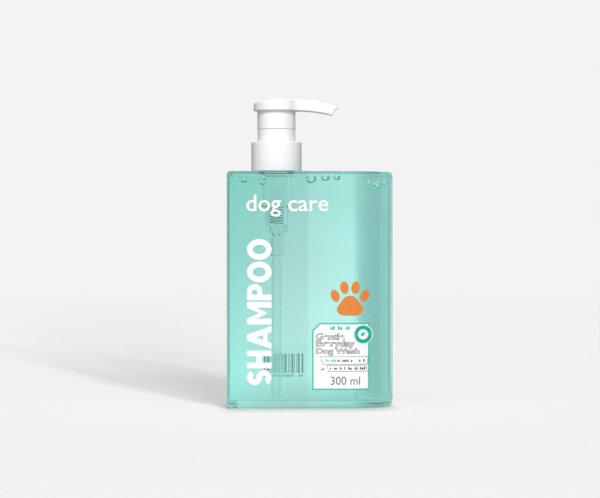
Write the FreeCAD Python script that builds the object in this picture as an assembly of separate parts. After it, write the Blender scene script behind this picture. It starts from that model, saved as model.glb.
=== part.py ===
"""Filled shampoo bottle with a screw-on lotion pump, as separate solids, one STEP file per node.

Frame: millimetres, +Z up, origin at the centre of the base, front face towards -Y, nozzle towards +X.
In plan the bottle is a U: a square end on the left (-X) and a half-round end on the right (+X). The pump
stands on the axis of a circle that touches the square end's three sides. The pump is modelled with its
head screwed down, so every height below is for that position.
"""

import FreeCAD, Part

import math
import os

Vector = FreeCAD.Vector
UP = Vector(0, 0, 1)

# ---- bottle ----
bottle_width = 79.0
bottle_depth = 46.5
bottle_height = 112.0
wall = 1.6
base_thickness = 2.2
corner_radius = 2.0  # upright edges of the square end
rim_radius = 1.9  # edges round the top and the base
base_recess_inset = 4.5
base_recess_depth = 0.5
half_depth = bottle_depth / 2
round_x = bottle_width / 2 - half_depth  # axis of the half-round end
pump_x = -bottle_width / 2 + half_depth  # axis of the neck and the pump

# ---- neck finish, 20 mm with one turn of thread ----
neck_radius = 8.69
neck_bore = 7.2
neck_height = 9.6
thread_pitch = 3.175
thread_turns = 1.0
neck_thread_crest = 9.8
neck_thread_start = bottle_height + 4.0
thread_root_width = 1.5
thread_crest_width = 0.8
thread_sink = 0.35  # how far a thread's root runs into its wall
neck_top = bottle_height + neck_height

# ---- fill ----
fill_gap = 0.6  # air between the shampoo and the ceiling
pump_gap = 0.3  # room round the pump, which lifts out of the shampoo

# ---- clamped stack on the neck ----
gasket_thickness = 1.1
housing_flange = 1.2
chaplet_flange = 1.3
flange_bottom = neck_top + gasket_thickness
chaplet_bottom = flange_bottom + housing_flange
flange_top = chaplet_bottom + chaplet_flange

# ---- collar ----
collar_radius = 12.1
collar_bottom = bottle_height + 0.35
collar_inner = 10.4
collar_top_wall = 1.25
collar_mouth = 9.3  # hole that the chaplet stands up through
collar_thread_crest = 9.2
collar_ceiling = flange_top + 0.05
collar_top = collar_ceiling + collar_top_wall

# ---- chaplet, the fixed sleeve that guides and locks the head ----
sleeve_radius = 9.1
sleeve_wall = 1.4
sleeve_top = 132.53
lock_plate = 1.5
lock_plate_hole = 5.15
lock_channel_radius = 6.9
lock_channel_angle = 54.0
stem_hole = 3.2

# ---- housing, the pump's cylinder ----
barrel_radius = 6.95
barrel_bore = 6.05
barrel_bottom = 95.4
barrel_floor = 96.3
foot_top_radius = 5.7
foot_bottom_radius = 5.15
foot_bore = 4.3
foot_bottom = 83.2
foot_floor = 86.3
socket_radius = 3.53
socket_bottom = 72.0
socket_top = 80.5
tube_radius = 2.4
tube_bore = 1.7
tube_bottom = 4.6
ball_radius = 2.0
ball_room = 2.6  # radius of the room that the intake ball lifts into
seat_gap = 0.03
intake_hole = 1.25
intake_seat_z = 81.5
intake_seat_angle = 42.5
vent_radius = 0.5
vent_z = 119.0

# ---- plunger ----
stroke = 13.0
retainer_thickness = 0.9
retainer_radius = 4.2
seat_flange_radius = 3.9
seat_flange_bottom = 95.4
seat_flange_thickness = 0.8
stem_radius = 3.1
stem_bore = 1.6
stem_bottom = 97.0
stem_top = 139.0
stem_ring_radius = 3.9
stem_ring_bottom = 105.9
stem_ring_height = 1.1
outlet_seat_z = 134.0
outlet_seat_angle = 29.0
outlet_room = 2.3
piston_bottom = 96.3
piston_height = 8.2
piston_lip_radius = 6.02
piston_sleeve_radius = 4.0
spring_wire = 0.4  # radius
spring_radius = 3.35  # of the wire's centre line
spring_coils = 6.0

# ---- head ----
skirt_radius = 9.15
skirt_bottom = sleeve_top + 0.15
skirt_bore = 7.95
disc_radius = 11.0
disc_bottom = 141.4
crown_x = 9.0  # highest point of the head, from the pump's axis
crown_z = 147.0
crown_back_radius = 115.0
crown_nozzle_radius = 56.0
under_start_x = 10.0  # where the nozzle's underside starts to curve down
under_radius = 66.0
nozzle_root_half = 6.2
nozzle_tip_half = 3.5
nozzle_tip_x = 30.2
outlet_low_x = 26.5
outlet_high_x = 28.6
lip_z = 142.5
hub_radius = 4.9
hub_bottom = 127.0
hub_bore = stem_radius + 0.02
head_cavity_top = 141.6
channel_radius = 1.5
channel_z = 144.0
lug_bottom = 128.9
lug_height = 1.7
lug_radius = 6.6
lug_angle = 40.0

# ---- labels ----
film = 0.12
label_left = 0.7
label_right = 27.9
label_bottom = 8.8
label_top = 40.5
label_cut = 3.6  # chamfer across the top left corner
badge_x = 24.8
badge_z = 35.0
badge_radius = 4.65
back_label_left = -24.0
back_label_right = -2.0
back_label_bottom = 11.5
back_label_top = 27.5


def at_pump(shape):
    """A solid made round the Z axis, moved onto the pump's axis."""
    shape.translate(Vector(pump_x, 0, 0))
    return shape


def disc(radius, low, high, x=0.0, y=0.0):
    """Upright cylinder between two heights."""
    return Part.makeCylinder(radius, high - low, Vector(x, y, low), UP)


def turned(points):
    """Solid of revolution round Z from a closed outline of (radius, height) points."""
    corners = [Vector(r, 0, z) for r, z in points]
    face = Part.Face(Part.makePolygon(corners + corners[:1]))
    return face.revolve(Vector(0, 0, 0), UP, 360)


def prism_y(points, low, high):
    """Outline of (x, z) points carried along Y from low to high."""
    corners = [Vector(x, low, z) for x, z in points]
    face = Part.Face(Part.makePolygon(corners + corners[:1]))
    return face.extrude(Vector(0, high - low, 0))


def sector(radius, angle, middle, low, high):
    """Upright wedge of a cylinder, its middle at an angle in degrees from +X."""
    wedge = Part.makeCylinder(radius, high - low, Vector(0, 0, low), UP, angle)
    wedge.rotate(Vector(0, 0, 0), UP, middle - angle / 2)
    return wedge


def u_prism(inset, low, high, upright_radius=0.0, edge_radius=0.0):
    """The bottle's U-shaped plan, moved in by inset, carried up from low to high and rounded."""
    left = -bottle_width / 2 + inset
    half = half_depth - inset
    a, b = Vector(left, -half, low), Vector(round_x, -half, low)
    c, d = Vector(round_x, half, low), Vector(left, half, low)
    far = Vector(round_x + half, 0, low)
    edges = [Part.makeLine(a, b), Part.Arc(b, far, c).toShape(), Part.makeLine(c, d), Part.makeLine(d, a)]
    body = Part.Face(Part.Wire(edges)).extrude(Vector(0, 0, high - low))
    if upright_radius:
        upright = [e for e in body.Edges if is_upright(e) and abs(e.Vertexes[0].X - left) < 0.01]
        body = body.makeFillet(upright_radius, upright)
    if edge_radius:
        level = [e for e in body.Edges if not is_upright(e)]
        body = body.makeFillet(edge_radius, level)
    return body


def is_upright(edge):
    """True for an edge whose two ends are at different heights."""
    return abs(edge.Vertexes[0].Z - edge.Vertexes[-1].Z) > 0.01


def thread(start, root, crest):
    """Right-hand trapezoid thread of the stated turns. Its root lies sink deep in the wall."""
    sink = thread_sink if crest < root else -thread_sink
    helix = Part.makeHelix(thread_pitch, thread_pitch * thread_turns, root)
    outline = [
        (root + sink, -thread_root_width / 2),
        (root, -thread_root_width / 2),
        (crest, -thread_crest_width / 2),
        (crest, thread_crest_width / 2),
        (root, thread_root_width / 2),
        (root + sink, thread_root_width / 2),
    ]
    corners = [Vector(r, 0, z) for r, z in outline]
    section = Part.makePolygon(corners + corners[:1])
    ridge = Part.Wire(helix).makePipeShell([section], True, True)
    ridge.translate(Vector(0, 0, start))
    return ridge


# ---- bottle and contents ----


def cavity():
    """Space inside the bottle's walls, without the neck."""
    return u_prism(wall, base_thickness, bottle_height - wall, 1.2, 1.4)


def make_bottle():
    """Bottle with its threaded neck, hollow and open at the neck, on a recessed base."""
    outside = u_prism(0, 0, bottle_height, corner_radius, rim_radius)
    neck = at_pump(disc(neck_radius, bottle_height - wall, neck_top))
    ridge = at_pump(thread(neck_thread_start, neck_radius, neck_thread_crest))
    shell = outside.fuse([neck, ridge]).cut(cavity())
    bore = at_pump(disc(neck_bore, bottle_height - wall - 1, neck_top + 1))
    recess = u_prism(base_recess_inset, 0, base_recess_depth, 1.0)
    return shell.cut([bore, recess]).removeSplitter()


def make_shampoo():
    """Shampoo filling the bottle to just under the ceiling, with room for the pump's housing and tube."""
    level = bottle_height - wall - fill_gap
    fill = cavity().common(Part.makeBox(200, 200, level, Vector(-100, -100, 0)))
    gap = pump_gap
    steps = [
        disc(barrel_radius + gap, barrel_bottom - gap, level + 1),
        disc(foot_top_radius + gap, foot_bottom - gap, level),
        disc(socket_radius + gap, socket_bottom - gap, level),
        disc(tube_radius + gap, tube_bottom - gap, level),
    ]
    return fill.cut([at_pump(step) for step in steps]).removeSplitter()


def film_on(outline, front):
    """Label film of an (x, z) outline, lying on the bottle's front or back."""
    skin = u_prism(-film, 0, bottle_height).cut(u_prism(0, 0, bottle_height))
    return skin.common(outline(-bottle_depth, 0) if front else outline(0, bottle_depth))


def make_front_label():
    """White panel with one cut corner and a round badge over its other top corner."""
    corners = [
        (label_left, label_bottom),
        (label_right, label_bottom),
        (label_right, label_top),
        (label_left + label_cut, label_top),
        (label_left, label_top - label_cut),
    ]

    def outline(low, high):
        panel = prism_y(corners, low, high)
        badge = Part.makeCylinder(badge_radius, high - low, Vector(badge_x, low, badge_z), Vector(0, 1, 0))
        return panel.fuse(badge)

    return film_on(outline, True).removeSplitter()


def make_back_label():
    """Clear rectangular film on the back."""
    size = (back_label_right - back_label_left, back_label_top - back_label_bottom)

    def outline(low, high):
        return Part.makeBox(size[0], high - low, size[1], Vector(back_label_left, low, back_label_bottom))

    return film_on(outline, False)


# ---- closure ----


def make_collar():
    """Smooth screw collar with an internal thread half a pitch below the neck's."""
    shell = turned(
        [
            (collar_inner + 0.3, collar_bottom),
            (collar_radius - 0.3, collar_bottom),
            (collar_radius, collar_bottom + 0.3),
            (collar_radius, collar_top - 0.5),
            (collar_radius - 0.15, collar_top - 0.15),
            (collar_radius - 0.5, collar_top),
            (collar_mouth + 0.2, collar_top),
            (collar_mouth, collar_top - 0.2),
            (collar_mouth, collar_ceiling),
            (collar_inner, collar_ceiling),
            (collar_inner, collar_bottom + 0.3),
        ]
    )
    start = neck_thread_start - thread_pitch / 2
    ridge = thread(start, collar_inner, collar_thread_crest)
    return at_pump(shell.fuse(ridge).removeSplitter())


def make_gasket():
    """Soft washer between the neck's rim and the housing's flange."""
    ring = disc(10.0, neck_top, flange_bottom)
    return at_pump(ring.cut(disc(neck_bore + 0.15, neck_top - 1, flange_bottom + 1)))


def make_chaplet():
    """Fixed sleeve: captive flange, lock plate with two channels, stem guide and housing plug."""
    inner = sleeve_radius - sleeve_wall
    guide_bottom = stem_ring_bottom + stem_ring_height + stroke + 0.1
    body = turned(
        [
            (stem_hole, guide_bottom),
            (stem_hole + 1.0, guide_bottom),
            (stem_hole + 1.0, chaplet_bottom - 0.6),
            (5.0, chaplet_bottom - 0.6),
            (5.0, chaplet_bottom - 2.8),
            (6.0, chaplet_bottom - 2.8),
            (6.0, chaplet_bottom),
            (10.2, chaplet_bottom),
            (10.2, flange_top),
            (sleeve_radius, flange_top),
            (sleeve_radius, sleeve_top - 0.25),
            (sleeve_radius - 0.25, sleeve_top),
            (lock_plate_hole, sleeve_top),
            (lock_plate_hole, sleeve_top - lock_plate),
            (inner, sleeve_top - lock_plate),
            (inner, flange_top),
            (stem_hole, flange_top),
        ]
    )
    low, high = sleeve_top - lock_plate - 0.5, sleeve_top + 1
    channels = [sector(lock_channel_radius, lock_channel_angle, a, low, high) for a in (90, 270)]
    return at_pump(body.cut(channels))


# ---- pump below the neck ----


def seat_apex(hole, seat_z, angle):
    """Height where a conical seat's surface would meet the axis."""
    return seat_z - hole / math.tan(math.radians(angle))


def ball_at_seat(hole, seat_z, angle):
    """Check ball resting just clear of a conical seat."""
    centre = seat_apex(hole, seat_z, angle) + (ball_radius + seat_gap) / math.sin(math.radians(angle))
    return at_pump(Part.makeSphere(ball_radius, Vector(0, 0, centre)))


def make_housing():
    """Stepped cylinder: flange, barrel for the piston, tapered foot for the spring, socket for the tube."""
    seat_rise = (ball_room - intake_hole) / math.tan(math.radians(intake_seat_angle))
    body = turned(
        [
            (tube_radius + 0.32, socket_bottom),
            (socket_radius - 0.2, socket_bottom),
            (socket_radius, socket_bottom + 0.2),
            (socket_radius, foot_bottom),
            (foot_bottom_radius - 0.3, foot_bottom),
            (foot_bottom_radius, foot_bottom + 0.3),
            (foot_top_radius, barrel_bottom),
            (barrel_radius - 0.3, barrel_bottom),
            (barrel_radius, barrel_bottom + 0.3),
            (barrel_radius, flange_bottom),
            (10.0, flange_bottom),
            (10.0, chaplet_bottom),
            (barrel_bore, chaplet_bottom),
            (barrel_bore, barrel_floor),
            (foot_bore, barrel_floor),
            (foot_bore, foot_floor),
            (ball_room, foot_floor),
            (ball_room, intake_seat_z + seat_rise),
            (intake_hole, intake_seat_z),
            (intake_hole, socket_top),
            (tube_radius + 0.02, socket_top),
            (tube_radius + 0.02, socket_bottom + 0.3),
        ]
    )
    vent = Part.makeCylinder(vent_radius, 2 * barrel_radius, Vector(0, 0, vent_z), Vector(0, 1, 0))
    return at_pump(body.cut(vent))


def make_dip_tube():
    """Straight tube from the housing's socket to just above the bottle's floor."""
    tube = disc(tube_radius, tube_bottom, socket_top - 0.1)
    return at_pump(tube.cut(disc(tube_bore, tube_bottom - 1, socket_top + 1)))


def make_ball_retainer():
    """Perforated disc over the intake ball, which the spring stands on."""
    low, high = foot_floor, foot_floor + retainer_thickness
    holes = [disc(0.7, low - 1, high + 1)]
    for step in range(6):
        turn = math.radians(60 * step)
        holes.append(disc(0.45, low - 1, high + 1, 1.75 * math.cos(turn), 1.75 * math.sin(turn)))
    return at_pump(disc(retainer_radius, low, high).cut(holes))


def make_spring():
    """Return spring, compressed between the retainer and the valve seat's flange."""
    low = foot_floor + retainer_thickness + spring_wire + 0.02
    high = seat_flange_bottom - spring_wire - 0.02
    helix = Part.makeHelix((high - low) / spring_coils, high - low, spring_radius)
    section = Part.Wire(Part.makeCircle(spring_wire, Vector(spring_radius, 0, 0), Vector(0, 1, 0)))
    coil = Part.Wire(helix).makePipeShell([section], True, True)
    coil.translate(Vector(0, 0, low))
    return at_pump(coil)


# ---- plunger ----


def make_valve_seat():
    """Fluted pin in the stem's lower end, with the flange that the piston's sleeve seals on."""
    flange_high = seat_flange_bottom + seat_flange_thickness
    pin_top = stem_bottom + 4.0
    body = turned(
        [
            (0, seat_flange_bottom),
            (seat_flange_radius, seat_flange_bottom),
            (seat_flange_radius, flange_high - 0.25),
            (seat_flange_radius - 0.25, flange_high),
            (2.3, flange_high),
            (2.3, stem_bottom - 0.05),
            (stem_bore - 0.02, stem_bottom - 0.05),
            (stem_bore - 0.02, pin_top - 0.4),
            (stem_bore - 0.4, pin_top),
            (0, pin_top),
        ]
    )
    flutes = []
    for step in range(4):
        turn = math.radians(90 * step)
        x, y = 1.95 * math.cos(turn), 1.95 * math.sin(turn)
        flutes.append(disc(0.75, flange_high + 0.2, pin_top + 1, x, y))
    return at_pump(body.cut(flutes))


def make_piston():
    """Floating piston: a sleeve on the stem joined by a web to an outer skirt with two wiping lips."""
    low, high = piston_bottom, piston_bottom + piston_height
    bore = stem_radius + 0.06
    body = turned(
        [
            (bore, low),
            (piston_sleeve_radius - 0.3, low),
            (piston_sleeve_radius, low + 0.3),
            (piston_sleeve_radius, low + 2.6),
            (5.1, low + 2.6),
            (5.5, low + 0.7),
            (piston_lip_radius, low + 0.6),
            (5.75, low + 1.8),
            (5.75, high - 1.0),
            (piston_lip_radius, high + 0.4),
            (5.5, high + 0.3),
            (5.1, low + 3.6),
            (piston_sleeve_radius, low + 3.6),
            (piston_sleeve_radius, high),
            (bore, high),
        ]
    )
    return at_pump(body)


def make_stem():
    """Hollow stem with a stop ring above the piston and a ball seat at its top."""
    seat_rise = (outlet_room - stem_bore) / math.tan(math.radians(outlet_seat_angle))
    body = turned(
        [
            (stem_bore, stem_bottom),
            (stem_radius, stem_bottom),
            (stem_radius, stem_ring_bottom),
            (stem_ring_radius, stem_ring_bottom),
            (stem_ring_radius, stem_ring_bottom + stem_ring_height),
            (stem_radius, stem_ring_bottom + stem_ring_height),
            (stem_radius, stem_top),
            (outlet_room, stem_top),
            (outlet_room, outlet_seat_z + seat_rise),
            (stem_bore, outlet_seat_z),
        ]
    )
    return at_pump(body)


# ---- actuator head ----


def crown_height(x):
    """Height of the head's arched top at a distance along the nozzle; it falls faster past its crown."""
    radius = crown_back_radius if x < crown_x else crown_nozzle_radius
    return crown_z - radius + math.sqrt(radius**2 - (x - crown_x) ** 2)


def under_height(x, start=disc_bottom):
    """Height of the nozzle's underside, flat to under_start_x and then an arc."""
    run = max(x - under_start_x, 0)
    return start - under_radius + math.sqrt(under_radius**2 - run**2)


def arc_xz(x0, x1, height):
    """Arc in the XZ plane through a height function's ends and middle."""
    points = [Vector(x, 0, height(x)) for x in (x0, (x0 + x1) / 2, x1)]
    return Part.Arc(*points).toShape()


def head_side():
    """Side outline of the disc and nozzle, seen along Y, as a slab wider than the head."""
    left = -disc_radius - 1
    corners = {
        "left_low": Vector(left, 0, disc_bottom),
        "left_high": Vector(left, 0, crown_height(left)),
        "tip_high": Vector(nozzle_tip_x + 1, 0, crown_height(nozzle_tip_x + 1)),
        "tip_low": Vector(nozzle_tip_x + 1, 0, lip_z),
        "outlet_high": Vector(outlet_high_x, 0, lip_z),
        "outlet_low": Vector(outlet_low_x, 0, under_height(outlet_low_x)),
        "under_start": Vector(under_start_x, 0, disc_bottom),
    }
    edges = [
        Part.makeLine(corners["left_low"], corners["left_high"]),
        arc_xz(left, crown_x, crown_height),
        arc_xz(crown_x, nozzle_tip_x + 1, crown_height),
        Part.makeLine(corners["tip_high"], corners["tip_low"]),
        Part.makeLine(corners["tip_low"], corners["outlet_high"]),
        Part.makeLine(corners["outlet_high"], corners["outlet_low"]),
        arc_xz(outlet_low_x, under_start_x, under_height),
        Part.makeLine(corners["under_start"], corners["left_low"]),
    ]
    face = Part.Face(Part.Wire(edges))
    slab = face.extrude(Vector(0, 40, 0))
    slab.translate(Vector(0, -20, 0))
    return slab


def head_plan():
    """Plan of the disc and tapering nozzle, carried up through the head's height."""
    low, high = disc_bottom - 5, crown_z + 2
    tip_round = 3.2
    root_x = 4.0
    outline = [
        Vector(root_x, -nozzle_root_half, low),
        Vector(nozzle_tip_x, -nozzle_tip_half, low),
        Vector(nozzle_tip_x, nozzle_tip_half, low),
        Vector(root_x, nozzle_root_half, low),
    ]
    nozzle = Part.Face(Part.makePolygon(outline + outline[:1])).extrude(Vector(0, 0, high - low))
    tips = [e for e in nozzle.Edges if is_upright(e) and abs(e.Vertexes[0].X - nozzle_tip_x) < 0.01]
    nozzle = nozzle.makeFillet(tip_round, tips)
    plan = nozzle.fuse(disc(disc_radius, low, high)).removeSplitter()
    inside = [e for e in plan.Edges if is_upright(e) and 2 < e.Vertexes[0].X < 12]
    return plan.makeFillet(7.0, inside)


def outlet_channel():
    """Liquid's way through the head: up from the stem, along the nozzle and out at its cut end."""
    end_x = nozzle_tip_x + 1

    def centre(x):
        return under_height(x, channel_z)

    rise = disc(channel_radius, stem_top - 1, channel_z)
    elbow = Part.makeSphere(channel_radius, Vector(0, 0, channel_z))
    level = Part.makeCylinder(channel_radius, under_start_x, Vector(0, 0, channel_z), Vector(1, 0, 0))
    section = Part.Wire(
        Part.makeCircle(channel_radius, Vector(under_start_x, 0, channel_z), Vector(1, 0, 0))
    )
    path = Part.Wire(arc_xz(under_start_x, end_x, centre))
    bend = path.makePipeShell([section], True, True)
    return rise.fuse([elbow, level, bend])


def make_head():
    """Actuator: crowned disc with nozzle, skirt over the chaplet, hub on the stem and two lock lugs."""
    cap = head_plan().common(head_side()).removeSplitter()
    cap = round_cap(cap)
    skirt = disc(skirt_radius, skirt_bottom, disc_bottom + 0.5)
    hollow = disc(skirt_bore, skirt_bottom - 1, head_cavity_top)
    hub = disc(hub_radius, hub_bottom, head_cavity_top + 0.5)
    lug_top = lug_bottom + lug_height
    lugs = [sector(lug_radius, lug_angle, a, lug_bottom, lug_top) for a in (90, 270)]
    socket = disc(hub_bore, hub_bottom - 1, stem_top + 0.05)
    body = cap.fuse(skirt).cut(hollow).fuse([hub] + lugs)
    body = body.cut([socket, outlet_channel()])
    return at_pump(body.removeSplitter())


def round_cap(cap):
    """Rounds the edge round the head's underside and, more fully, the one round its top."""
    slot_x = nozzle_tip_x - 3.5
    under = [
        e
        for e in cap.Edges
        if e.BoundBox.ZMax < disc_bottom + 0.01 and e.BoundBox.XMin < slot_x and not along_y(e)
    ]
    cap = cap.makeFillet(0.5, under)
    top = [e for e in cap.Edges if not is_seam(e) and e.BoundBox.ZMin > lip_z + 0.3]
    return cap.makeFillet(1.1, top)


def is_seam(edge):
    """True for an upright seam between two side faces and for the crown's line across the top."""
    upright = edge.BoundBox.XLength < 0.01 and edge.BoundBox.YLength < 0.01
    return upright or (along_y(edge) and abs(edge.BoundBox.XMin - crown_x) < 0.01)


def along_y(edge):
    """True for an edge that runs straight across the head."""
    box = edge.BoundBox
    return box.XLength < 0.01 and box.ZLength < 0.01


def main():
    os.makedirs("parts", exist_ok=True)
    nodes = {
        "bottle": make_bottle(),
        "shampoo": make_shampoo(),
        "front_label": make_front_label(),
        "back_label": make_back_label(),
        "collar": make_collar(),
        "gasket": make_gasket(),
        "chaplet": make_chaplet(),
        "pump_housing": make_housing(),
        "dip_tube": make_dip_tube(),
        "ball_retainer": make_ball_retainer(),
        "intake_ball": ball_at_seat(intake_hole, intake_seat_z, intake_seat_angle),
        "return_spring": make_spring(),
        "valve_seat": make_valve_seat(),
        "piston": make_piston(),
        "stem": make_stem(),
        "outlet_ball": ball_at_seat(stem_bore, outlet_seat_z, outlet_seat_angle),
        "actuator_head": make_head(),
    }
    for name, shape in nodes.items():
        solids = len(shape.Solids)
        print(f"{name:14} solids {solids} valid {shape.isValid()} volume {shape.Volume / 1000:.3f} ml")
        shape.exportStep(f"parts/{name}.step")


main()
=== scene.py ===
"""Looks of the pump shampoo bottle round its CAD frame.

Metres, +Z up, front towards -Y, nozzle towards +X."""

import math
import random

import bmesh
import bpy
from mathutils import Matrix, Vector


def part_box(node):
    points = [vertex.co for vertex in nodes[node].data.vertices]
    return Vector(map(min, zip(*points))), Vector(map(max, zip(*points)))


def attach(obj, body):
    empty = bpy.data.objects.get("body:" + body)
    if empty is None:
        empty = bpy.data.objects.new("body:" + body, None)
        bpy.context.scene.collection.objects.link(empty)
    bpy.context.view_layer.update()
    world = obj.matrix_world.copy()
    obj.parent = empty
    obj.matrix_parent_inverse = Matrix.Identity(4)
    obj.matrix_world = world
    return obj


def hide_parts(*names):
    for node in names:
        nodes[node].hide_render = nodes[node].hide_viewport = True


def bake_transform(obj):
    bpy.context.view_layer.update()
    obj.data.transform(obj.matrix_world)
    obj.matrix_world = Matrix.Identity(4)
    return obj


MM = 0.001

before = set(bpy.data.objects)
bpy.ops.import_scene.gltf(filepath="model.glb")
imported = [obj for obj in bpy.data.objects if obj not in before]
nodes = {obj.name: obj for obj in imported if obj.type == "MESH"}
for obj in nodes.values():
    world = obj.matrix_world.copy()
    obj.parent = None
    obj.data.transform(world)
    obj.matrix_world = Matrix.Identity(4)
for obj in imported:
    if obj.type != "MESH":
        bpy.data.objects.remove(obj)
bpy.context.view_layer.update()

# ---- places from the frame ----
bottle_low, bottle_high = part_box("bottle")
fill_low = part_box("shampoo")[0]
collar_low, collar_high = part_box("collar")
label_low, label_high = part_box("front_label")
back_low, back_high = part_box("back_label")
spring_low, spring_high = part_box("return_spring")
wall = fill_low.x - bottle_low.x
half_depth = bottle_high.y
round_x = bottle_high.x - half_depth
pump_x = (collar_low.x + collar_high.x) / 2
collar_gap = 0.35 * MM  # between the shoulder and the collar
body_top = collar_low.z - collar_gap
ceiling = body_top - wall


# ---- materials ----


def new_material(name):
    """Material with one Principled shader; returns the material, its tree and the shader."""
    material = bpy.data.materials.new(name)
    material.use_nodes = True
    tree = material.node_tree
    return material, tree, tree.nodes["Principled BSDF"]


def set_inputs(shader, values):
    """Sets a shader's own sockets."""
    for socket, value in values.items():
        shader.inputs[socket].default_value = value


def noise_at(tree, scale, detail=3.0, roughness=0.5, stretch=(1, 1, 1)):
    """Noise texture in object coordinates."""
    place = tree.nodes.new("ShaderNodeTexCoord")
    mapping = tree.nodes.new("ShaderNodeMapping")
    noise = tree.nodes.new("ShaderNodeTexNoise")
    mapping.inputs["Scale"].default_value = stretch
    set_inputs(noise, {"Scale": scale, "Detail": detail, "Roughness": roughness})
    tree.links.new(place.outputs["Object"], mapping.inputs["Vector"])
    tree.links.new(mapping.outputs["Vector"], noise.inputs["Vector"])
    return noise


def ramp(tree, socket, stops):
    """Colour ramp from (position, grey or colour) stops, fed by a socket."""
    node = tree.nodes.new("ShaderNodeValToRGB")
    band = node.color_ramp
    while len(band.elements) < len(stops):
        band.elements.new(0.5)
    for element, (place, value) in zip(band.elements, stops):
        element.position = place
        element.color = (*value, 1) if isinstance(value, tuple) else (value, value, value, 1)
    tree.links.new(socket, node.inputs["Fac"])
    return node


def add_bump(tree, shader, source, strength, distance):
    """Bump from a noise texture."""
    bump = tree.nodes.new("ShaderNodeBump")
    set_inputs(bump, {"Strength": strength, "Distance": distance})
    tree.links.new(source.outputs["Fac"], bump.inputs["Height"])
    tree.links.new(bump.outputs["Normal"], shader.inputs["Normal"])


def tinted(tree, shader, colour, scale, depth):
    """Base colour that wanders down by a small share, depth, and back."""
    dark = tuple((1 - depth) * c for c in colour)
    shade = ramp(tree, noise_at(tree, scale).outputs["Fac"], [(0.3, dark), (0.7, colour)])
    tree.links.new(shade.outputs["Color"], shader.inputs["Base Color"])


def moulded_plastic(name, colour, roughness, grain=900.0):
    """Injection-moulded plastic: faint mottling, uneven gloss and a very fine skin texture."""
    material, tree, shader = new_material(name)
    tinted(tree, shader, colour, 45.0, 0.02)
    gloss = ramp(tree, noise_at(tree, 160.0).outputs["Fac"],
                 [(0.35, roughness - 0.04), (0.65, roughness + 0.05)])
    tree.links.new(gloss.outputs["Color"], shader.inputs["Roughness"])
    add_bump(tree, shader, noise_at(tree, grain, detail=2.0), 0.06, 0.02 * MM)
    set_inputs(shader, {"IOR": 1.49, "Subsurface Weight": 0.06, "Subsurface Scale": 0.8 * MM})
    return material


def clear_plastic(name, colour, ior):
    """Clear moulded plastic with very slight flow marks."""
    material, tree, shader = new_material(name)
    set_inputs(shader, {"IOR": ior, "Transmission Weight": 1.0, "Roughness": 0.0})
    tinted(tree, shader, colour, 30.0, 0.01)
    add_bump(tree, shader, noise_at(tree, 22.0, detail=1.0, stretch=(1, 1, 0.4)), 0.05, 0.1 * MM)
    return material


def wetted_plastic(name, colour, ior, roughness):
    """Natural polypropylene wet with liquid: nearly clear, with faint cloudy streaks along the flow."""
    material, tree, shader = new_material(name)
    set_inputs(shader, {"IOR": ior, "Transmission Weight": 1.0})
    tinted(tree, shader, colour, 120.0, 0.01)
    haze = ramp(tree, noise_at(tree, 260.0, stretch=(1, 1, 0.2)).outputs["Fac"],
                [(0.3, roughness), (0.7, roughness + 0.04)])
    tree.links.new(haze.outputs["Color"], shader.inputs["Roughness"])
    add_bump(tree, shader, noise_at(tree, 500.0, detail=2.0), 0.04, 0.02 * MM)
    return material


def printing_ink(name, colour, roughness=0.45):
    """Printed ink: very even, with a slightly uneven laydown and screen texture."""
    material, tree, shader = new_material(name)
    tinted(tree, shader, colour, 300.0, 0.03)
    add_bump(tree, shader, noise_at(tree, 2500.0, detail=2.0), 0.05, 0.01 * MM)
    set_inputs(shader, {"Roughness": roughness, "IOR": 1.45})
    return material


def steel_wire(name):
    """Drawn stainless wire with fine lines round it."""
    material, tree, shader = new_material(name)
    tinted(tree, shader, (0.62, 0.62, 0.6), 700.0, 0.2)
    add_bump(tree, shader, noise_at(tree, 3000.0, stretch=(1, 1, 6)), 0.1, 0.01 * MM)
    set_inputs(shader, {"Metallic": 1.0, "Roughness": 0.28})
    return material


def bending_skin(name, ior):
    """Colourless skin that only bends light."""
    material, _, shader = new_material(name)
    set_inputs(shader, {"Base Color": (1, 1, 1, 1), "Roughness": 0.0, "IOR": ior, "Transmission Weight": 1.0})
    return material


def absorb(material, colour, density):
    """Volume absorption for a closed clear piece."""
    tree = material.node_tree
    volume = tree.nodes.new("ShaderNodeVolumeAbsorption")
    volume.inputs["Color"].default_value = (*colour, 1)
    volume.inputs["Density"].default_value = density
    output = next(n for n in tree.nodes if n.type == "OUTPUT_MATERIAL")
    tree.links.new(volume.outputs["Volume"], output.inputs["Volume"])


def dress(material, *names):
    """Gives CAD nodes their material."""
    for name in names:
        for slot in nodes[name].material_slots:
            slot.material = material


# ---- mesh helpers ----


def new_piece(name, body, material, ride=None, replaced=(), smooth_angle=30.0):
    """Piece from a bmesh, smooth up to an angle, body and the nodes it stands for."""
    body.normal_update()
    mesh_data = bpy.data.meshes.new(name)
    body.to_mesh(mesh_data)
    body.free()
    mesh_data.polygons.foreach_set("use_smooth", [True] * len(mesh_data.polygons))
    mesh_data.set_sharp_from_angle(angle=math.radians(smooth_angle))
    mesh_data.materials.append(material)
    piece = bpy.data.objects.new(name, mesh_data)
    bpy.context.scene.collection.objects.link(piece)
    if ride:
        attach(piece, ride)
    if replaced:
        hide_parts(*replaced)
    return piece


def ring_of(body, points, flip=False):
    """Vertices along a closed outline."""
    ring = [body.verts.new(point) for point in points]
    return ring[::-1] if flip else ring


def bridge(body, below, above):
    """Quads between two rings of equal length."""
    count = len(below)
    for i in range(count):
        j = (i + 1) % count
        body.faces.new((below[i], below[j], above[j], above[i]))


def loft(body, rings):
    """Closed skin through rings of points."""
    made = [ring_of(body, points) for points in rings]
    for below, above in zip(made, made[1:]):
        bridge(body, below, above)
    body.faces.new(made[0][::-1])
    body.faces.new(made[-1])


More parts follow.
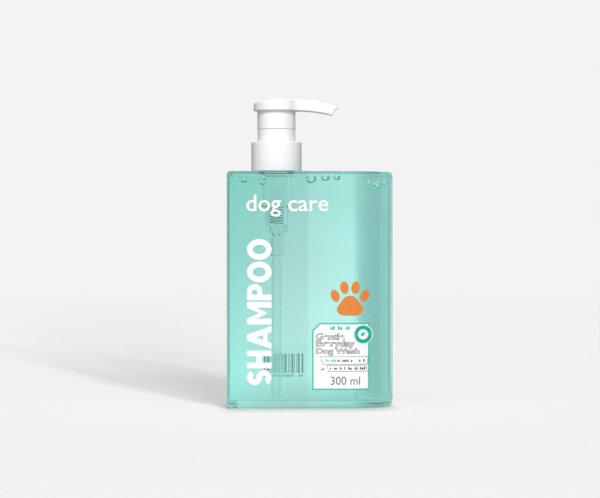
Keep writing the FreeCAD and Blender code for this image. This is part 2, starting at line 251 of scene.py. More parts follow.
def circle(centre, radius, z, steps=24):
    """Points round a level circle."""
    turns = [2 * math.pi * i / steps for i in range(steps)]
    return [(centre[0] + radius * math.cos(t), centre[1] + radius * math.sin(t), z) for t in turns]


# ---- shampoo ----


def u_outline(inset, corner, z, bend_steps=64, corner_steps=8):
    """Points round the bottle's U-shaped plan, moved in by inset, anticlockwise from the front left."""
    left, half = bottle_low.x + inset, half_depth - inset
    points = []
    for step in range(corner_steps + 1):
        turn = math.pi + math.pi / 2 * step / corner_steps
        points.append((left + corner + corner * math.cos(turn), -half + corner + corner * math.sin(turn), z))
    for step in range(bend_steps + 1):
        turn = -math.pi / 2 + math.pi * step / bend_steps
        points.append((round_x + half * math.cos(turn), half * math.sin(turn), z))
    for step in range(corner_steps + 1):
        turn = math.pi / 2 + math.pi / 2 * step / corner_steps
        points.append((left + corner + corner * math.cos(turn), half - corner + corner * math.sin(turn), z))
    return points


def edge_rings(z, inset, corner, edge, towards, steps=8):
    """Rings round a rounded edge that starts at height z; towards is 1 for a bottom and -1 for a top edge."""
    rings = []
    for step in range(steps + 1):
        turn = math.pi / 2 * step / steps
        shift = edge * (1 - math.sin(turn))
        rise = towards * edge * (1 - math.cos(turn))
        rings.append(u_outline(inset + shift, max(corner - shift, 0.2 * MM), z + rise))
    return rings


def bubble(body, x, y, radius, top, squash, drop):
    """Air bubble at the ceiling, or a drop below it, its skin facing into the air as the liquid's own."""
    steps = 12
    cap = math.radians(6 if drop else 48)
    top -= drop
    centre = top - radius * squash * math.cos(cap)
    rings = []
    for step in range(1, steps + 1):
        turn = math.pi - (math.pi - cap) * step / steps
        rings.append(circle((x, y), radius * math.sin(turn), centre + radius * squash * math.cos(turn)))
    made = [ring_of(body, points, flip=True) for points in rings]
    for below, above in zip(made, made[1:]):
        bridge(body, below, above)
    body.faces.new(made[0][::-1])
    body.faces.new(made[-1])


def make_shampoo():
    """The liquid, filling the bottle wall to wall and running on through the pump.

    The wetted wall bends the light, so the liquid's own skin doesn't."""
    overlap = 0.1 * MM
    inset, corner = wall - overlap, 1.2 * MM
    body = bmesh.new()
    bottom = edge_rings(fill_low.z - overlap, inset, corner, 1.4 * MM, 1)
    top = edge_rings(ceiling + overlap, inset, corner, 0.4 * MM, -1, steps=3)
    loft(body, bottom + top[::-1])
    material = bending_skin("shampoo_liquid", 1.0)
    absorb(material, TINT, LIQUID_DENSITY)
    new_piece("shampoo_liquid", body, material, "bottle", ["shampoo"])


def make_bubbles():
    """Air bubbles caught under the ceiling."""
    body = bmesh.new()
    film = 0.15 * MM  # of liquid between a bubble and the ceiling
    top = ceiling - film
    for x, y, radius, squash, drop in BUBBLES:
        bubble(body, x * MM, y * MM, radius * MM, top, squash, drop * MM)
    skin = bending_skin("bubble_skin", LIQUID_IOR)
    new_piece("air_bubbles", body, skin, "bottle", smooth_angle=40.0)


def make_bottle_shell():
    """The bottle's own shape, with its wetted inside told apart, because liquid bends light less there."""
    shell = nodes["bottle"].data.copy()
    dry = clear_plastic("clear_pet", (0.99, 1.0, 0.995), PET_IOR)
    absorb(dry, TINT, PET_DENSITY)
    wet = clear_plastic("clear_pet_wet", (1.0, 1.0, 1.0), PET_IOR / LIQUID_IOR)
    shell.materials.clear()
    shell.materials.append(dry)
    shell.materials.append(wet)
    skin = wall / 2
    for face in shell.polygons:
        x, y, z = face.center
        out = math.hypot(max(x - round_x, 0), y)
        inside = x > bottle_low.x + skin and out < half_depth - skin
        face.material_index = int(inside and fill_low.z / 2 < z < body_top - skin)
    piece = bpy.data.objects.new("bottle_shell", shell)
    bpy.context.scene.collection.objects.link(piece)
    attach(piece, "bottle")
    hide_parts("bottle")


PET_IOR = 1.5
LIQUID_IOR = 1.36
TINT = (0.2, 0.954, 0.875)
LIQUID_DENSITY = 3.5
PET_DENSITY = 19.5
# bubbles under the ceiling: x, y, radius, height share and drop below the ceiling, in mm, front ones first
BUBBLES = [
    (-31.6, -17.5, 2.3, 1.0, 0.0),
    (-22.6, -17.0, 2.1, 1.1, 0.4),
    (0.2, -16.8, 2.8, 0.9, 0.0),
    (7.0, -17.2, 2.3, 0.8, 0.0),
    (12.4, -16.6, 1.8, 0.9, 0.0),
    (26.8, -15.6, 1.3, 1.0, 2.2),
    (29.0, -13.6, 1.1, 1.0, 3.2),
    (31.0, -12.2, 1.9, 1.0, 2.6),
    (33.9, -8.6, 1.4, 1.0, 2.4),
]


# ---- return spring ----


def make_spring():
    """Helical spring between the pump housing and the piston."""
    wire, turns, around, per_turn = 0.2 * MM, 6, 8, 28
    coil = (spring_high.x - spring_low.x) / 2 - wire
    low, high = spring_low.z + wire, spring_high.z - wire
    up = Vector((0, 0, 1))
    body = bmesh.new()
    rings = []
    total = turns * per_turn
    for step in range(total + 1):
        turn = 2 * math.pi * step / per_turn
        out = Vector((math.cos(turn), math.sin(turn), 0))
        centre = Vector((pump_x, 0, low + (high - low) * step / total)) + coil * out
        ring = []
        for k in range(around):
            tilt = 2 * math.pi * k / around
            ring.append(body.verts.new(centre + wire * (math.cos(tilt) * out + math.sin(tilt) * up)))
        rings.append(ring)
    for before, after in zip(rings, rings[1:]):
        bridge(body, after, before)
    body.faces.new(rings[0])
    body.faces.new(rings[-1][::-1])
    piece = new_piece("return_spring_coil", body, steel_wire("spring_steel"),
                      replaced=["return_spring"])
    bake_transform(piece)


# ---- printing ----


def curve_body(curve):
    """bmesh of a filled flat curve, x and y along the print and z its thickness from 0 to 1."""
    curve.extrude = 0.5
    holder = bpy.data.objects.new("holder", curve)
    bpy.context.scene.collection.objects.link(holder)
    flat = bpy.data.meshes.new_from_object(holder.evaluated_get(bpy.context.evaluated_depsgraph_get()))
    bpy.data.objects.remove(holder)
    bpy.data.curves.remove(curve)
    body = bmesh.new()
    body.from_mesh(flat)
    bpy.data.meshes.remove(flat)
    bmesh.ops.remove_doubles(body, verts=body.verts, dist=1e-6)
    for vert in body.verts:
        vert.co.z += 0.5
    return body


def shapes(*loops):
    """Flat filled shapes from closed outlines in mm; an outline inside another is a hole."""
    curve = bpy.data.curves.new("shapes", "CURVE")
    curve.dimensions = "2D"
    curve.fill_mode = "BOTH"
    for loop in loops:
        spline = curve.splines.new("POLY")
        spline.points.add(len(loop) - 1)
        for point, (x, y) in zip(spline.points, loop):
            point.co = (x, y, 0, 1)
        spline.use_cyclic_u = True
    return curve_body(curve)


def lettering(words, left, right, low, high, bold=0.0):
    """Words in the plain built-in face, fitted to a box in mm and then drawn bolder."""
    bodies = []
    for offset in (0.0, bold):
        curve = bpy.data.curves.new("words", "FONT")
        curve.body = words
        curve.offset = offset
        curve.resolution_u = 5
        bodies.append(curve_body(curve))
    plain, body = bodies
    xs = [vert.co.x for vert in plain.verts]
    ys = [vert.co.y for vert in plain.verts]
    across = (right - left) / (max(xs) - min(xs))
    up = (high - low) / (max(ys) - min(ys))
    for vert in body.verts:
        vert.co.x = left + (vert.co.x - min(xs)) * across
        vert.co.y = low + (vert.co.y - min(ys)) * up
    plain.free()
    return body


def thick_line(points, width):
    """Outline of a line of even width, square at its ends."""
    sides = []
    for i, (x, y) in enumerate(points):
        before, after = points[max(i - 1, 0)], points[min(i + 1, len(points) - 1)]
        dx, dy = after[0] - before[0], after[1] - before[1]
        reach = width / 2 / math.hypot(dx, dy)
        sides.append(((x - dy * reach, y + dx * reach), (x + dy * reach, y - dx * reach)))
    return [side[0] for side in sides] + [side[1] for side in reversed(sides)]


def arc(x, y, across, up, start, end, steps=18):
    """Points along part of an ellipse, from its half sizes and angles in degrees."""
    turns = [math.radians(start + (end - start) * i / steps) for i in range(steps + 1)]
    return [(x + across * math.cos(turn), y + up * math.sin(turn)) for turn in turns]


def block_letter(letter, w, h, t):
    """Outlines of one heavy plain capital, w wide and h high, with strokes t wide."""
    bar = (h - t) / 2
    if letter == "H":
        return [[(0, 0), (t, 0), (t, bar), (w - t, bar), (w - t, 0), (w, 0), (w, h), (w - t, h),
                 (w - t, bar + t), (t, bar + t), (t, h), (0, h)]]
    if letter == "O":
        return [ellipse(w / 2, h / 2, w / 2, h / 2), ellipse(w / 2, h / 2, w / 2 - t, h / 2 - t)]
    if letter == "A":
        foot = 1.02 * t
        lean = (w - foot) / 2 / h
        low, high = 0.17 * h, 0.17 * h + 0.72 * t
        peak = (w / 2 - foot) / lean
        return [[(0, 0), (foot, 0), (foot + lean * low, low), (w - foot - lean * low, low),
                 (w - foot, 0), (w, 0), ((w + foot) / 2, h), ((w - foot) / 2, h)],
                [(foot + lean * high, high), (w - foot - lean * high, high), (w / 2, peak)]]
    if letter == "M":
        return [[(0, 0), (t, 0), (t, 0.6 * h), (w / 2, 0.16 * h), (w - t, 0.6 * h), (w - t, 0),
                 (w, 0), (w, h), (w - t, h), (w / 2, 0.5 * h), (t, h), (0, h)]]
    if letter == "P":
        bowl = 0.62 * h
        turn = w - bowl / 2
        thin = 0.85 * t
        outer = [(0, 0), (t, 0), (t, h - bowl)]
        outer += arc(turn, h - bowl / 2, bowl / 2, bowl / 2, -90, 90) + [(0, h)]
        inner = [(t, h - bowl + thin)]
        inner += arc(turn, h - bowl / 2, bowl / 2 - t, bowl / 2 - thin, -90, 90) + [(t, h - thin)]
        return [outer, inner]
    quarter = (h - t) / 4
    spine = arc(w / 2, t / 2 + 3 * quarter, (w - t) / 2, quarter, 25, 262)
    spine += arc(w / 2, t / 2 + quarter, (w - t) / 2, quarter, 82, -155)
    return [thick_line(spine, t)]


def upright_word(letters, left, right, low, high, stroke, gap):
    """Heavy capitals that read from bottom to top, fitted to a box in mm."""
    shares = [LETTER_WIDTHS[letter] for letter in letters]
    unit = (high - low - gap * (len(letters) - 1)) / sum(shares)
    at = low
    loops = []
    for letter, share in zip(letters, shares):
        width = share * unit
        for loop in block_letter(letter, width, right - left, stroke):
            loops.append([(right - y, at + x) for x, y in loop])
        at += width + gap
    return shapes(*loops)


LETTER_WIDTHS = {"S": 7.4, "H": 8.7, "A": 11.2, "M": 11.0, "P": 8.0, "O": 10.2}


def rectangle(left, right, low, high):
    """Upright rectangle from its sides."""
    return [(left, low), (right, low), (right, high), (left, high)]


def cut_panel(left, right, low, high, cut):
    """Rectangle with its top left corner cut off."""
    return [(left, low), (right, low), (right, high), (left + cut, high), (left, high - cut)]


def ellipse(x, y, across, up, tilt=0.0, steps=40):
    """Tilted ellipse from its half sizes."""
    points = []
    cos, sin = math.cos(math.radians(tilt)), math.sin(math.radians(tilt))
    for i in range(steps):
        turn = 2 * math.pi * i / steps
        u, v = across * math.cos(turn), up * math.sin(turn)
        points.append((x + u * cos - v * sin, y + u * sin + v * cos))
    return points


def frame_of(loop, line):
    """A loop and the same loop drawn in by about a line's width, so that filling leaves the line."""
    xs, ys = [p[0] for p in loop], [p[1] for p in loop]
    middle = ((min(xs) + max(xs)) / 2, (min(ys) + max(ys)) / 2)
    half = ((max(xs) - min(xs)) / 2, (max(ys) - min(ys)) / 2)
    inner = [(middle[0] + (x - middle[0]) * (1 - line / half[0]),
              middle[1] + (y - middle[1]) * (1 - line / half[1])) for x, y in loop]
    return [loop, inner]


def strokes(left, right, low, high, draw, shortest=0.35, longest=0.9, gap=0.22):
    """Row of small strokes that stands for fine print too small to read."""
    row = []
    x = left
    while x < right:
        width = draw.uniform(shortest, longest)
        if draw.random() < 0.82:
            row.append(rectangle(x, min(x + width, right), low, high - draw.choice((0, 0.25)) * (high - low)))
        x += width + gap
    return row


def lay(name, parts, low, high, material, side=-1, replaced=()):
    """Lays flat parts on the bottle as one piece, from low to high above its front (-1) or back (1) face.

    Flat x and y are the place on the face in mm, seen from outside."""
    body = bmesh.new()
    for part in parts:
        flat = bpy.data.meshes.new("part")
        part.to_mesh(flat)
        part.free()
        body.from_mesh(flat)
        bpy.data.meshes.remove(flat)
    right = max(vert.co.x for vert in body.verts)
    bend = round_x / MM
    facet = 0.8  # mm, fine enough to follow the round end
    while side < 0 and bend < right:
        every = body.verts[:] + body.edges[:] + body.faces[:]
        bmesh.ops.bisect_plane(body, geom=every, plane_co=(bend, 0, 0), plane_no=(1, 0, 0), dist=1e-5)
        bend += facet
    for vert in body.verts:
        x, z = -side * vert.co.x * MM, vert.co.y * MM
        lift = half_depth + (low + (high - low) * vert.co.z) * MM
        past = max(x - round_x, 0.0)
        vert.co = (x, side * math.sqrt(lift * lift - past * past), z)
    return new_piece(name, body, material, "bottle", replaced, smooth_angle=20.0)


def paw(x, y, size):
    """Paw print: four toes over a rounded three-sided pad."""
    pad = []
    for i in range(48):
        turn = 2 * math.pi * i / 48
        reach = 0.30 * size * (1 - 0.13 * math.sin(3 * turn))
        pad.append((x + 1.12 * reach * math.cos(turn), y - 0.2 * size + 0.9 * reach * math.sin(turn)))
    toes = []
    for across, up, tilt in ((-0.40, 0.10, 22), (-0.15, 0.32, 8), (0.15, 0.32, -8), (0.40, 0.10, -22)):
        toes.append(ellipse(x + across * size, y + up * size, 0.115 * size, 0.17 * size, tilt))
    return [pad] + toes


def leaf(x, y, size):
    """Pointed leaf on a slant, split by its midrib."""
    points = []
    for i in range(21):
        t = i / 20
        points.append((t - 0.5, 0.32 * math.sin(math.pi * t)))
    for i in range(1, 20):
        t = 1 - i / 20
        points.append((t - 0.5, -0.22 * math.sin(math.pi * t)))
    cos, sin = math.cos(math.radians(40)), math.sin(math.radians(40))
    return [(x + size * (u * cos - v * sin), y + size * (u * sin + v * cos)) for u, v in points]


def make_front_print():
    """White printing straight on the bottle: a plain word up the side and a line under the shoulder."""
    left = bottle_low.x / MM
    white_ink = printing_ink("white_ink", (0.93, 0.93, 0.93), 0.4)
    word = upright_word("SHAMPOO", left + 9.6, left + 21.2, 11.2, 79.9, 2.7, 0.75)
    line = lettering("dog care", left + 9.4, left + 47.8, 90.6, 100.6, bold=0.008)
    lay("white_print", [word, line], 0.01, 0.04, white_ink)


def make_front_label():
    """White label with a green edge and round badge, and its printing."""
    draw = random.Random(3)
    paper = printing_ink("label_white", (0.95, 0.95, 0.95), 0.5)
    green = printing_ink("label_green", (0.012, 0.54, 0.39))
    dark = printing_ink("label_dark", (0.09, 0.09, 0.1))
    grey = printing_ink("label_grey", (0.045, 0.047, 0.05))
    teal = printing_ink("label_teal", (0.02, 0.15, 0.15))
    orange = printing_ink("label_orange", (0.72, 0.23, 0.035))
    badge_radius, overhang, rim = 4.65, 1.55, 0.35
    left, low = label_low.x / MM + 0.05, label_low.z / MM + 0.05
    right, high = label_high.x / MM - overhang, label_high.z / MM - 0.05
    badge = (label_high.x / MM - badge_radius, high - 5.45)
    line = 0.72
    cut, cut_share = 3.6, 0.586  # the inner corner is cut less, so that the line keeps its width there
    outer = cut_panel(left, right, low, high, cut)
    inner = cut_panel(left + line, right - line, low + line, high - line, cut - cut_share * line)
    lay("label_panel", [shapes(outer)], 0.005, 0.045, paper, replaced=["front_label"])
    disc = ellipse(*badge, badge_radius, badge_radius, steps=64)
    lay("label_badge", [shapes(disc)], 0.07, 0.085, paper)
    ring = [ellipse(*badge, r, r, steps=64) for r in (badge_radius - rim, 2.35)]
    top_line = strokes(left + 8.5, left + 18.3, 37.2, 38.9, draw, 0.6, 1.2)
    lay("label_border", [shapes(outer, inner)], 0.05, 0.062, green)
    lay("label_green_marks", [shapes(*ring), shapes(leaf(*badge, 2.9)), shapes(*top_line)], 0.09, 0.1, green)
    marks = []
    for i in range(26):
        turn = 2 * math.pi * i / 26
        if i % 13 in (0, 1):
            continue
        marks.append(ellipse(badge[0] + 3.3 * math.cos(turn), badge[1] + 3.3 * math.sin(turn), 0.5, 0.3,
                             math.degrees(turn), steps=8))
    lay("label_badge_marks", [shapes(*marks)], 0.102, 0.112, teal)
    words = (("Gentle", 2.7, 15.8, 32.5, 35.5), ("Everyday", 2.7, 20.6, 28.5, 32.2),
             ("Dog Wash", 2.7, 22.9, 25.1, 28.5))
    edges = [lettering(text, *box, bold=0.045) for text, *box in words]
    lay("label_word_edges", edges, 0.05, 0.058, grey)
    faces = [lettering(text, *box, bold=-0.012) for text, *box in words]
    lay("label_word_faces", faces, 0.06, 0.066, paper)
    banner = [(4.3, 24.6), (27.3, 24.6), (26.9, 20.9), (5.9, 20.9)]
    second = [(7.8, 20.6), (26.3, 20.6), (26.9, 17.5), (8.4, 17.5)]
    lines = [shapes(*frame_of(banner, 0.22)), shapes(*frame_of(second, 0.22)),
             shapes(*strokes(12.6, 26.0, 22.1, 23.4, draw)), shapes(*strokes(9.2, 25.8, 18.4, 19.7, draw)),
             shapes([(4.9, 18.0), (6.6, 18.7), (6.3, 19.2), (4.9, 18.5)])]
    lay("label_lines", lines, 0.05, 0.06, grey)
    lay("label_green_lines", [shapes(*strokes(6.4, 12.2, 22.1, 23.4, draw))], 0.05, 0.06, green)
    lay("label_volume", [lettering("300 ml", 9.5, 23.3, 11.3, 15.2)], 0.05, 0.06, dark)
    paw_middle = (18.6, 51.4)
    lay("paw_print", [shapes(*paw(*paw_middle, 17.5))], 0.01, 0.03, orange)


def make_back_label():
    """Clear film on the back with a bar code and a line of fine print under it."""
    draw = random.Random(11)
    film = clear_plastic("back_film", (0.98, 0.99, 0.99), 1.45)
    ink = printing_ink("back_ink", (0.2, 0.24, 0.24))
    ink.node_tree.nodes["Principled BSDF"].inputs["Alpha"].default_value = 0.45
    left, right = -back_high.x / MM + 0.1, -back_low.x / MM - 0.1
    low, high = back_low.z / MM + 0.1, back_high.z / MM - 0.1
    lay("back_film", [shapes(rectangle(left, right, low, high))], 0.005, 0.05, film, side=1,
        replaced=["back_label"])
    bars = []
    x = left + 1.2
    while x < right - 1.4:
        width = draw.choice((0.3, 0.3, 0.6, 0.9))
        bars.append(rectangle(x, x + width, low + 3.4, high - 2.9))
        x += width + draw.choice((0.3, 0.35, 0.6, 0.9))
    digits = strokes(left + 1.6, right - 1.6, low + 1.6, low + 2.9, draw, 0.5, 0.7, 0.5)
    lay("bar_code", [shapes(*bars), shapes(*digits)], 0.06, 0.075, ink, side=1)


# ---- studio ----


def stage_piece(name, body, material):
    """Object that is scenery and no part of the bottle."""
    piece = new_piece(name, body, material)
    return piece


def make_backdrop(level):
    """Pale wall all round at one even brightness, which lights no matt surface and casts no shadow."""
    body = bmesh.new()
    radius, low, high = 4.0, -0.01, 6.0
    rings = [circle((0, 0), radius, z, steps=96) for z in (low, high)]
    made = [ring_of(body, points) for points in rings]
    bridge(body, made[1], made[0])
    body.faces.new(made[0])
    body.faces.new(made[1][::-1])
    material, _, shader = new_material("backdrop")
    set_inputs(shader, {"Base Color": (0, 0, 0, 1), "Roughness": 1.0, "Specular IOR Level": 0.0,
                        "Emission Color": (1, 1, 1, 1), "Emission Strength": level})
    backdrop = stage_piece("backdrop", body, material)
    backdrop.visible_diffuse = False
    backdrop.visible_shadow = False


def make_floor(level, albedo, glow):
    """Pale floor; past its middle it fades into the backdrop's even brightness."""
    body = bmesh.new()
    radius, fade_start, fade_end = 3.9, 1.6, 3.2
    body.faces.new(ring_of(body, circle((0, 0), radius, 0.0, steps=96)))
    material, tree, shader = new_material("floor")
    set_inputs(shader, {"Base Color": (albedo, albedo, albedo, 1), "Roughness": 1.0,
                        "Specular IOR Level": 0.0, "Emission Color": (1, 1, 1, 1), "Emission Strength": glow})
    even = tree.nodes.new("ShaderNodeEmission")
    even.inputs["Strength"].default_value = level
    place = tree.nodes.new("ShaderNodeTexCoord")
    reach = tree.nodes.new("ShaderNodeVectorMath")
    reach.operation = "LENGTH"
    fade = tree.nodes.new("ShaderNodeMapRange")
    fade.interpolation_type = "SMOOTHSTEP"
    set_inputs(fade, {"From Min": fade_start, "From Max": fade_end})
    blend = tree.nodes.new("ShaderNodeMixShader")
    output = next(n for n in tree.nodes if n.type == "OUTPUT_MATERIAL")
    tree.links.new(place.outputs["Object"], reach.inputs[0])
    tree.links.new(reach.outputs["Value"], fade.inputs["Value"])
    tree.links.new(fade.outputs["Result"], blend.inputs["Fac"])
    tree.links.new(shader.outputs["BSDF"], blend.inputs[1])
    tree.links.new(even.outputs["Emission"], blend.inputs[2])
    tree.links.new(blend.outputs["Shader"], output.inputs["Surface"])
    floor = stage_piece("floor", body, material)
    floor.visible_diffuse = False
    return floor


def hide_from_plain_view(piece):
    """Scenery that shows only through clear pieces and in reflections, and casts no shadow."""
    piece.visible_camera = False
    piece.visible_diffuse = False
    piece.visible_shadow = False


def graded_card(name, body, level, grade):
    """Glowing card that paints light and shade into what shows through clear pieces; grade links its emission
    colour.
    """
    material, tree, shader = new_material(name)
    set_inputs(shader, {"Base Color": (0, 0, 0, 1), "Specular IOR Level": 0.0, "Emission Strength": level})
    place = tree.nodes.new("ShaderNodeTexCoord")
    split = tree.nodes.new("ShaderNodeSeparateXYZ")
    tree.links.new(place.outputs["Object"], split.inputs["Vector"])
    tree.links.new(grade(tree, split), shader.inputs["Emission Color"])
    hide_from_plain_view(stage_piece(name, body, material))


def along(tree, socket, start, end, stops):
    """Ramp along a coordinate, from (coordinate, colour) stops."""
    share = tree.nodes.new("ShaderNodeMapRange")
    set_inputs(share, {"From Min": start, "From Max": end})
    tree.links.new(socket, share.inputs["Value"])
    shares = [((at - start) / (end - start), colour) for at, colour in stops]
    return ramp(tree, share.outputs["Result"], shares).outputs["Color"]


def make_flat_card():
    """Graded glowing card close behind the flat part of the bottle: painted light and shade, seen through the
    liquid as its lighter and darker bands.
    """
    gap = 2 * MM
    y = half_depth + gap
    low, high = (bottle_low.x - 3 * MM, 0.5 * MM), (round_x + 3.6 * MM, body_top)
    body = bmesh.new()
    corners = [(low[0], y, low[1]), (high[0], y, low[1]), (high[0], y, high[1]), (low[0], y, high[1])]
    body.faces.new([body.verts.new(corner) for corner in corners])

    def grade(tree, split):
        across = along(tree, split.outputs["X"], low[0], high[0], [(x * MM, c) for x, c in CARD_ACROSS])
        ups = [along(tree, split.outputs["Z"], 0, body_top, [(z * MM, c) for z, c in stops])
               for stops in (CARD_UP_LEFT, CARD_UP_RIGHT)]
        share = tree.nodes.new("ShaderNodeMapRange")
        set_inputs(share, {"From Min": bottle_low.x, "From Max": round_x})
        tree.links.new(split.outputs["X"], share.inputs["Value"])
        up = tree.nodes.new("ShaderNodeMix")
        up.data_type = "RGBA"
        tree.links.new(share.outputs["Result"], up.inputs[0])
        tree.links.new(ups[0], up.inputs[6])
        tree.links.new(ups[1], up.inputs[7])
        both = tree.nodes.new("ShaderNodeVectorMath")
        both.operation = "MULTIPLY"
        tree.links.new(across, both.inputs[0])
        tree.links.new(up.outputs[2], both.inputs[1])
        return both.outputs["Vector"]

    graded_card("painted_shade_card_flat", body, CARD_LEVEL, grade)


def make_side_card():
    """Darker glowing card standing behind on the left, which the rounded end of the bottle bends into view:
    painted light and shade in the round end of the liquid.
    """
    middle = Vector((round_x + 3.8 * MM, 0.7 * half_depth, 0))
    radius, low, high, steps = 0.12, 0.2 * MM, 0.3, 40
    first, last = 3.0, 110.0
    body = bmesh.new()
    columns = []
    for step in range(steps + 1):
        turn = math.radians(first + (last - first) * step / steps)
        x, y = middle.x - radius * math.sin(turn), middle.y + radius * math.cos(turn)
        columns.append((body.verts.new((x, y, low)), body.verts.new((x, y, high))))
    for a, b in zip(columns, columns[1:]):
        body.faces.new((a[0], b[0], b[1], a[1]))
    # its foot runs in over the floor to the back of the bottle
    clear = half_depth + 0.5 * MM - middle.y
    feet = []
    for column in columns:
        edge = column[0].co
        if edge.y > middle.y + clear:
            share = clear / (edge.y - middle.y)
            foot = (middle.x + share * (edge.x - middle.x), middle.y + clear, low)
            feet.append((column[0], body.verts.new(foot)))
    for a, b in zip(feet, feet[1:]):
        body.faces.new((a[0], b[0], b[1], a[1]))

    def grade(tree, split):
        left, back, turn = [tree.nodes.new("ShaderNodeMath") for _ in range(3)]
        left.operation, back.operation, turn.operation = "SUBTRACT", "SUBTRACT", "ARCTAN2"
        left.inputs[0].default_value = middle.x
        tree.links.new(split.outputs["X"], left.inputs[1])
        tree.links.new(split.outputs["Y"], back.inputs[0])
        back.inputs[1].default_value = middle.y
        tree.links.new(left.outputs["Value"], turn.inputs[0])
        tree.links.new(back.outputs["Value"], turn.inputs[1])
        stops = [(math.radians(angle), shade) for angle, shade in SIDE_CARD]
        return along(tree, turn.outputs["Value"], 0, math.radians(last), stops)

    graded_card("painted_shade_card_side", body, BACKGROUND, grade)


def make_rim_shade_card():
    """Dim glowing card behind on the right, which the rim of the rounded end mirrors and bends into view:
    painted shade that darkens the outline of the rounded end.
    """
    middle = Vector((round_x, 0, 0))
    radius, high, steps = 0.25, 0.25, 24
    near, low = 0.055, 0.2 * MM
    first, last = 9.0, 62.0
    body = bmesh.new()
    columns = []
    for step in range(steps + 1):
        turn = math.radians(first + (last - first) * step / steps)
        across, back = math.sin(turn), math.cos(turn)
        x, y = middle.x + radius * across, middle.y + radius * back
        foot = body.verts.new((middle.x + near * across, middle.y + near * back, low))
        columns.append((foot, body.verts.new((x, y, low)), body.verts.new((x, y, high))))
    for a, b in zip(columns, columns[1:]):
        body.faces.new((a[0], b[0], b[1], a[1]))
        body.faces.new((a[1], b[1], b[2], a[2]))
    material, _, shader = new_material("painted_rim_shade_card")
    set_inputs(shader, {"Base Color": (0, 0, 0, 1), "Specular IOR Level": 0.0,
                        "Emission Color": EDGE_COLOUR, "Emission Strength": EDGE_LEVEL})
    hide_from_plain_view(stage_piece("painted_rim_shade_card", body, material))


# the cards glow with painted light and shade, seen through the bottle and in its rim, and are tuned to the
# front view
# glow of the dim card on the right: painted shade along the outline of the rounded end
EDGE_COLOUR = (0.85, 1.0, 0.97, 1)
EDGE_LEVEL = 0.42
# painted light and shade of the flat card, seen through the liquid, from left to right and from the floor up,
# in mm
CARD_LEVEL = 1.32
CARD_ACROSS = [
    (-40.0, (0.62, 0.80, 0.78)),
    (-36.0, (0.65, 0.83, 0.81)),
    (-28.0, (0.70, 0.82, 0.80)),
    (-16.0, (0.80, 0.82, 0.82)),
    (-1.3, (0.86, 0.84, 0.85)),
    (-0.7, (0.97, 0.93, 0.94)),
    (10.0, (0.99, 0.99, 0.99)),
    (17.0, (1.0, 1.0, 1.0)),
    (18.6, (1.0, 1.0, 1.0)),
    (19.2, (0.82, 0.9, 0.9)),
    (19.8, (0.74, 0.8, 0.8)),
]
CARD_UP_LEFT = [(0.0, (0.83, 0.72, 0.72)), (6.5, (0.94, 0.785, 0.79)), (14.0, (1.0, 0.84, 0.84)),
                (42.0, (0.925, 0.75, 0.76)), (70.0, (0.76, 0.645, 0.65)), (86.0, (0.675, 0.61, 0.61)),
                (98.0, (0.66, 0.61, 0.60)), (107.0, (0.58, 0.60, 0.58))]
CARD_UP_RIGHT = [(0.0, (0.46, 0.48, 0.48)), (6.5, (0.55, 0.58, 0.575)), (14.0, (0.82, 0.76, 0.75)),
                 (42.0, (0.90, 0.745, 0.77)), (70.0, (0.81, 0.67, 0.695)), (86.0, (0.75, 0.665, 0.68)),
                 (98.0, (0.66, 0.625, 0.625)), (107.0, (0.64, 0.63, 0.625))]
# painted light and shade of the side card, seen through the round end, by angle from straight back
SIDE_CARD = [(3.0, (0.8, 0.8, 0.8)), (7.0, (0.73, 0.76, 0.76)), (10.0, (0.62, 0.67, 0.67)),
             (14.0, (0.53, 0.61, 0.61)), (21.0, (0.495, 0.605, 0.605)), (38.0, (0.54, 0.665, 0.66)),
             (50.0, (0.40, 0.52, 0.52)), (60.0, (0.16, 0.2, 0.2)), (67.0, (0.16, 0.2, 0.2)),
             (76.0, (0.62, 0.68, 0.68))]


def add_light(name, place, aim, size, power, receivers):
    """Soft rectangular light; receivers is the collection it lights or spares."""
    data = bpy.data.lights.new(name, "AREA")
    data.shape = "RECTANGLE"
    data.size, data.size_y = size
    data.energy = power
    lamp = bpy.data.objects.new(name, data)
    lamp.location = place
    lamp.rotation_euler = (Vector(aim) - Vector(place)).to_track_quat("-Z", "Y").to_euler()
    lamp.visible_camera = False
    lamp.visible_transmission = False
    bpy.context.scene.collection.objects.link(lamp)
    lamp.light_linking.receiver_collection = receivers
    return lamp


def linked(name, piece, state):
    """Light-linking collection of one object, included or excluded."""
    group = bpy.data.collections.new(name)
    group.objects.link(piece)
    group.collection_objects[0].light_linking.link_state = state
    return group


def make_world():
    """Even soft light, brighter in front and behind than from the sides."""
    scene = bpy.context.scene
    world = bpy.data.worlds.new("studio")
    scene.world = world
    world.use_nodes = True
    tree = world.node_tree
    place = tree.nodes.new("ShaderNodeTexCoord")
    split = tree.nodes.new("ShaderNodeSeparateXYZ")
    share = tree.nodes.new("ShaderNodeMapRange")
    set_inputs(share, {"From Min": -1.0, "From Max": 1.0})
    tree.links.new(place.outputs["Generated"], split.inputs["Vector"])
    tree.links.new(split.outputs["Y"], share.inputs["Value"])
    shade = ramp(tree, share.outputs["Result"], [(0.0, 0.91), (0.5, 0.01), (1.0, 0.22)])
    background = tree.nodes["Background"]
    tree.links.new(shade.outputs["Color"], background.inputs["Color"])
    background.inputs["Strength"].default_value = 1.0


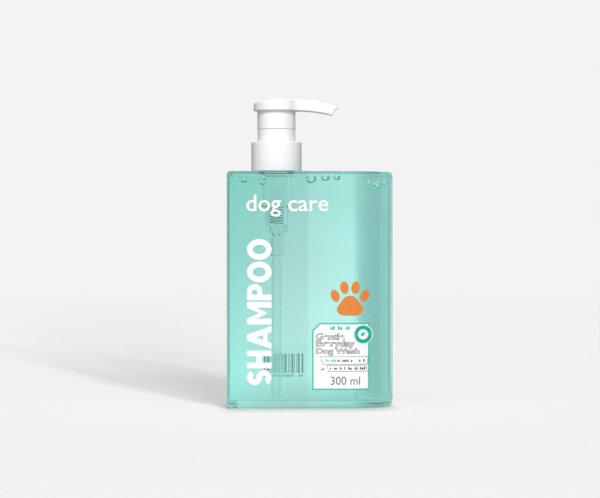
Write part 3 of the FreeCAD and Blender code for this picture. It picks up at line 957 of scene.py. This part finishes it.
def make_lights(floor):
    """Softboxes that light all but the floor, and far strips that light only the floor.

    The strips throw the bottle's long shadow back and left, and a short one in front of its base."""
    spared = linked("all_but_floor", floor, "EXCLUDE")
    only = linked("floor_only", floor, "INCLUDE")
    for name, place, size, power in SOFTBOXES:
        softbox = add_light(name, place, SOFTBOX_AIM, size, power, spared)
        softbox.visible_glossy = False
    strips = [(*strip, FAN_POWER) for strip in SHADOW_FAN] + [(*CONTACT_STRIP, CONTACT_POWER)]
    for azimuth, low, high, width, share, full in strips:
        turn = math.radians(azimuth)
        tilt = math.radians((low + high) / 2)
        level = math.cos(tilt)
        place = STRIP_REACH * Vector((math.sin(turn) * level, -math.cos(turn) * level, math.sin(tilt)))
        size = (STRIP_REACH * math.radians(width), STRIP_REACH * math.radians(high - low))
        power = full * share / math.sin(tilt)
        lamp = add_light("strip", place, (0, 0, 0), size, power, only)
        lamp.data.cycles.use_multiple_importance_sampling = False


# name, place, width and height in metres, and power in watts
SOFTBOXES = [
    ("front", (0, -1.7, 1.5), (0.9, 0.7), 36.0),
    ("back", (0, 1.7, 1.4), (1.0, 0.8), 30.0),
]
SOFTBOX_AIM = (0, 0, 0.08)
STRIP_REACH = 100.0
FAN_POWER = 40000.0
CONTACT_POWER = 48000.0
# azimuth from the front, lowest and highest elevation, width, in degrees, and share of the light
SHADOW_FAN = [
    (21.0, 17.0, 29.0, 0.7, 0.33),
    (18.0, 8.5, 16.0, 2.0, 0.35),
    (13.0, 5.5, 9.5, 3.0, 0.20),
    (9.5, 3.5, 6.0, 3.5, 0.10),
    (7.0, 2.8, 4.5, 3.5, 0.08),
]
# the same for the strip overhead at the back, which draws the short shadow in front of the base
CONTACT_STRIP = (180.0, 73.0, 89.0, 6.0, 1.0)


# a long lens, level, a little left of the bottle's origin; lens and film in mm, places in metres
CAMERA_LENS = 138.0
FILM_WIDTH = 36.0
CAMERA_X = -4.94 * MM
CAMERA_DISTANCE = 1081.7 * MM
CAMERA_HEIGHT = 75.2 * MM
BOUNCES = 32


def make_camera():
    """Camera, view settings and light bounces."""
    scene = bpy.context.scene
    data = bpy.data.cameras.new("camera")
    data.lens = CAMERA_LENS
    data.sensor_width = FILM_WIDTH
    data.clip_start = 0.05
    camera = bpy.data.objects.new("camera", data)
    camera.location = (CAMERA_X, bottle_low.y - CAMERA_DISTANCE, CAMERA_HEIGHT)
    camera.rotation_euler = (math.pi / 2, 0, 0)
    scene.collection.objects.link(camera)
    scene.camera = camera
    scene.view_settings.view_transform = "Standard"
    scene.cycles.max_bounces = BOUNCES
    scene.cycles.transmission_bounces = BOUNCES
    scene.cycles.glossy_bounces = BOUNCES


SMOKE = (0.875, 0.39, 0.41)
HOUSING_DENSITY = 26.0
TUBE_DENSITY = 75.0


def dress_pump():
    """Materials of the pump's CAD nodes: white outside, nearly clear where the liquid wets them."""
    dress(moulded_plastic("white_pp", (0.9, 0.9, 0.905), 0.34), "collar", "chaplet", "actuator_head")
    housing = wetted_plastic("housing_pp", (0.995, 1.0, 0.998), 1.24, 0.0)
    absorb(housing, SMOKE, HOUSING_DENSITY)
    dress(housing, "pump_housing")
    tube = wetted_plastic("tube_pp", (0.98, 1.0, 0.995), 1.22, 0.01)
    absorb(tube, SMOKE, TUBE_DENSITY)
    dress(tube, "dip_tube")
    dress(wetted_plastic("moving_pp", (1.0, 1.0, 1.0), 1.03, 0.0), "ball_retainer", "valve_seat", "stem")
    dress(wetted_plastic("piston_pe", (1.0, 1.0, 1.0), 1.03, 0.0), "piston")
    dress(clear_plastic("ball_glass", (0.97, 1.0, 0.99), 1.1), "intake_ball", "outlet_ball")
    dress(moulded_plastic("foam_pe", (0.85, 0.86, 0.86), 0.7, grain=350.0), "gasket")


dress_pump()
make_bottle_shell()
make_shampoo()
make_bubbles()
make_spring()
make_front_print()
make_front_label()
make_back_label()

BACKGROUND = 0.896
FLOOR_ALBEDO = 0.6
FLOOR_GLOW = 0.195
make_backdrop(BACKGROUND)
make_flat_card()
make_side_card()
make_rim_shade_card()
make_world()
make_lights(make_floor(BACKGROUND, FLOOR_ALBEDO, FLOOR_GLOW))
make_camera()
